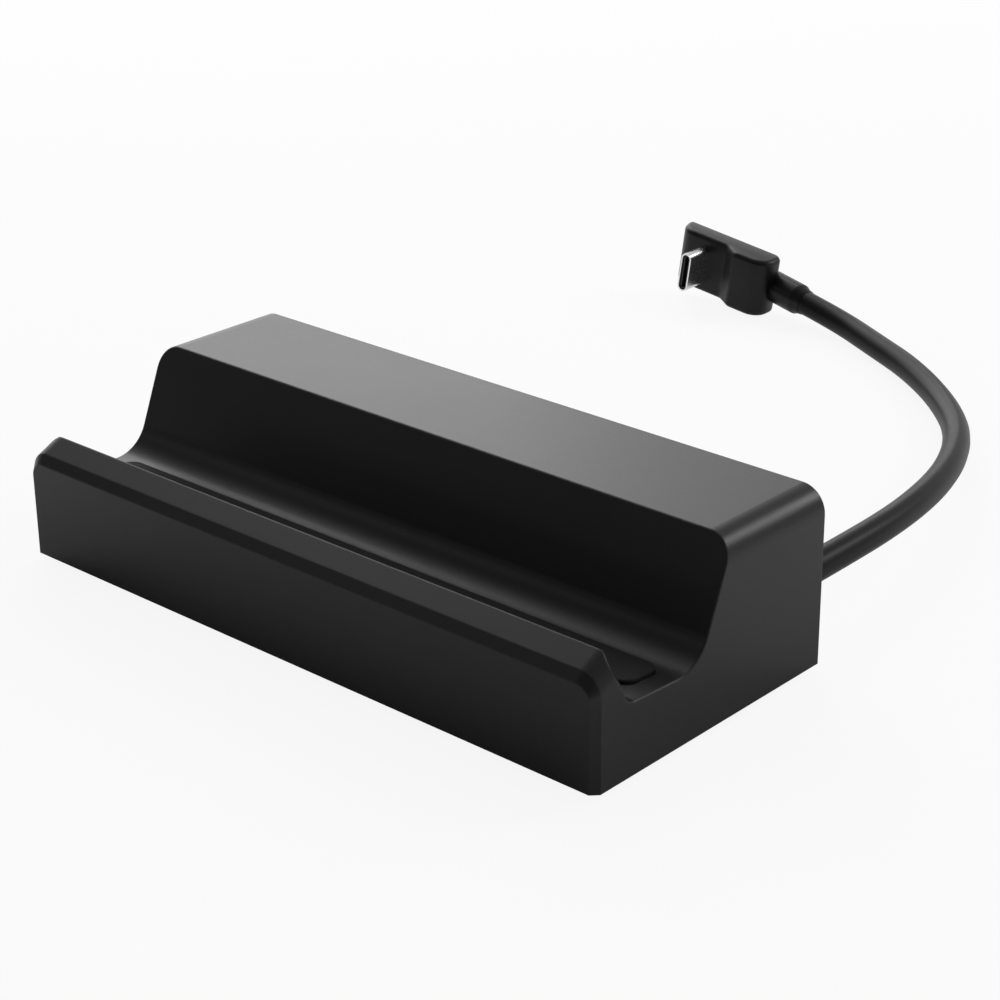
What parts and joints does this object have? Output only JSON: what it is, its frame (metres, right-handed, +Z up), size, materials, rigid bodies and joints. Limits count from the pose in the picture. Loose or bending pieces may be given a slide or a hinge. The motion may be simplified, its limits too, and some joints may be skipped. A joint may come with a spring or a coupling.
{
  "type": "handheld console dock",
  "caption": "Black moulded dock with a leaning trough that holds a handheld console, sockets along its back and a short captive cable with a right-angle plug.",
  "frame": {"origin": "on the table, under the middle of the dock without its cable", "axes": "+X to the user's right along the dock, -Y towards the user, +Z up"},
  "size_m": [0.1217, 0.1775, 0.029],
  "materials": {
    "housing_plastic": "black, fine spark-eroded texture",
    "pad_rubber": "black, matt",
    "board_laminate": "green solder mask",
    "screw_steel": "plain zinc",
    "socket_steel": "bright plated",
    "insulator_plastic": "black, smooth",
    "contact_brass": "gold flashed",
    "chip_plastic": "dark moulding compound",
    "thermal_gel": "soft grey",
    "spreader_aluminium": "plain",
    "cable_jacket": "black, satin",
    "plug_plastic": "black, satin",
    "plug_steel": "bright plated, drawn"
  },
  "bodies": {
    "root": {"upper_housing": "housing_plastic", "base_cover": "housing_plastic", "cradle_pad": "pad_rubber", "foot_pad": "pad_rubber", "main_board": "board_laminate", "base_screws": "screw_steel", "board_screws": "screw_steel", "data_socket_shell_1": "socket_steel", "data_socket_shell_2": "socket_steel", "data_socket_shell_3": "socket_steel", "display_socket_shell": "socket_steel", "video_socket_shell": "socket_steel", "power_inlet_shell": "socket_steel", "network_jack_shell": "socket_steel", "data_socket_tongue_1": "insulator_plastic", "data_socket_tongue_2": "insulator_plastic", "data_socket_tongue_3": "insulator_plastic", "display_socket_tongue": "insulator_plastic", "video_socket_tongue": "insulator_plastic", "power_inlet_tongue": "insulator_plastic", "network_jack_insert": "insulator_plastic", "cable_header": "insulator_plastic", "plug_insert": "insulator_plastic", "network_jack_contacts": "contact_brass", "hub_chip": "chip_plastic", "video_chip": "chip_plastic", "network_chip": "chip_plastic", "power_chip": "chip_plastic", "network_transformer": "chip_plastic", "power_coil_1": "chip_plastic", "power_coil_2": "chip_plastic", "thermal_pad_1": "thermal_gel", "thermal_pad_2": "thermal_gel", "heat_spreader": "spreader_aluminium", "bulk_capacitors": "spreader_aluminium", "cable_tail": "cable_jacket", "data_cable": "cable_jacket", "cable_sleeve": "cable_jacket", "plug_body": "plug_plastic", "plug_shell": "plug_steel"}
  },
  "joints": []
}
